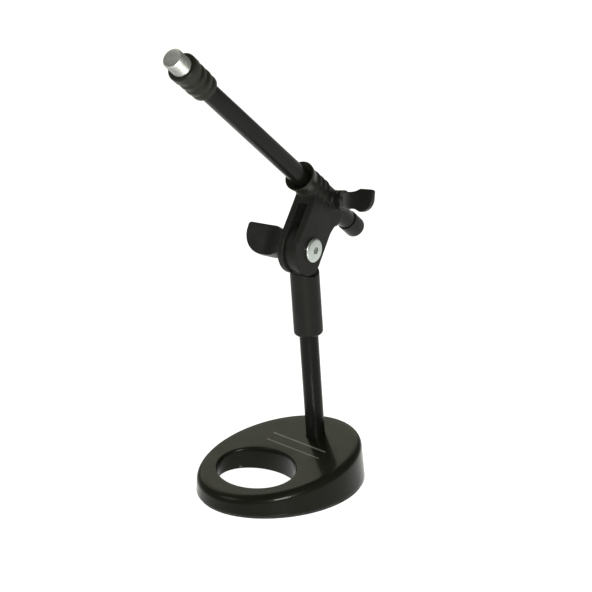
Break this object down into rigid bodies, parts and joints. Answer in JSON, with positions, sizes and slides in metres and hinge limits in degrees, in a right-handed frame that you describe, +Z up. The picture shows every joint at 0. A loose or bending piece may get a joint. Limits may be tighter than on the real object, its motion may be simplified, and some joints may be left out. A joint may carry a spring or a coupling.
{
  "type": "desktop microphone stand",
  "caption": "Oval weighted base with a hand hole, a short post with a swivel sleeve, and a tilting clamp head that holds a sliding boom with a threaded stud.",
  "frame": {"origin": "on the post's axis, at the underside of the base pad, which stands on the desk", "axes": "+Z up along the post, -Y towards the hand hole and the low edge of the base, +X to the right of it"},
  "size_m": [0.124, 0.2033, 0.3746],
  "materials": {
    "gloss_black": "gloss powder coat on a heavy casting",
    "gloss_black_tube": "gloss paint on steel tube",
    "satin_black": "satin paint on cast metal",
    "black_plastic": "satin moulded plastic",
    "rubber": "matte",
    "zinc": "bright zinc plate",
    "nickel": "nickel plate",
    "brass": "machined",
    "fibre": "matte",
    "nylon": "matte"
  },
  "bodies": {
    "base": {"base_casting": "gloss_black", "base_pad": "rubber", "base_bolt": "zinc", "base_washer": "zinc", "post_tube": "gloss_black_tube", "foot_plug": "nickel", "top_plug": "nickel"},
    "swivel": {"swivel_sleeve": "satin_black", "swivel_liner": "nylon", "sleeve_grub_screw": "zinc"},
    "head": {"clamp_head": "satin_black", "friction_washer_left": "fibre", "friction_washer_right": "fibre", "pivot_bolt": "zinc", "pivot_washer": "zinc", "boom_bush": "black_plastic", "rear_bush": "black_plastic"},
    "pivot_knob": {"pivot_knob": "black_plastic", "pivot_nut": "zinc"},
    "clamp_knob": {"clamp_knob": "black_plastic", "clamp_screw": "zinc"},
    "pressure_pad": {"pressure_pad": "brass"},
    "boom": {"boom_tube": "gloss_black_tube", "boom_tail_cap": "black_plastic", "boom_ferrule": "black_plastic", "mic_stud": "nickel"},
    "lock_ring": {"lock_ring": "black_plastic"}
  },
  "joints": [
    {"name": "head_swivel", "type": "hinge", "parent": "base", "child": "swivel", "pos_m": [0, 0, 0.145], "axis": [0, 0, 1], "continuous": true},
    {"name": "boom_tilt", "type": "hinge", "parent": "swivel", "child": "head", "pos_m": [0, 0, 0.182], "axis": [0.9659, 0.2588, 0], "range_deg": [-46, 74]},
    {"name": "pivot_knob_turn", "type": "hinge", "parent": "head", "child": "pivot_knob", "pos_m": [0, 0, 0.182], "axis": [-0.9659, -0.2588, 0], "range_deg": [0, 300]},
    {"name": "clamp_knob_turn", "type": "hinge", "parent": "head", "child": "clamp_knob", "pos_m": [-0.00809, 0.0302, 0.21006], "axis": [0.9259, 0.3606, 0.1125], "range_deg": [0, 270]},
    {"name": "pad_slide", "type": "slide", "parent": "head", "child": "pressure_pad", "axis": [0.9259, 0.3606, 0.1125], "range_m": [0, 0.001]},
    {"name": "boom_slide", "type": "slide", "parent": "head", "child": "boom", "axis": [0.1862, -0.6948, 0.6947], "range_m": [-0.09, 0.018]},
    {"name": "lock_ring_turn", "type": "hinge", "parent": "boom", "child": "lock_ring", "pos_m": [-0.00753, 0.02811, 0.21214], "axis": [0.1862, -0.6948, 0.6947], "continuous": true}
  ],
  "couplings": [
    {"joint": "pad_slide", "follows": "clamp_knob_turn", "m_per_rad": 0.00019894}
  ]
}
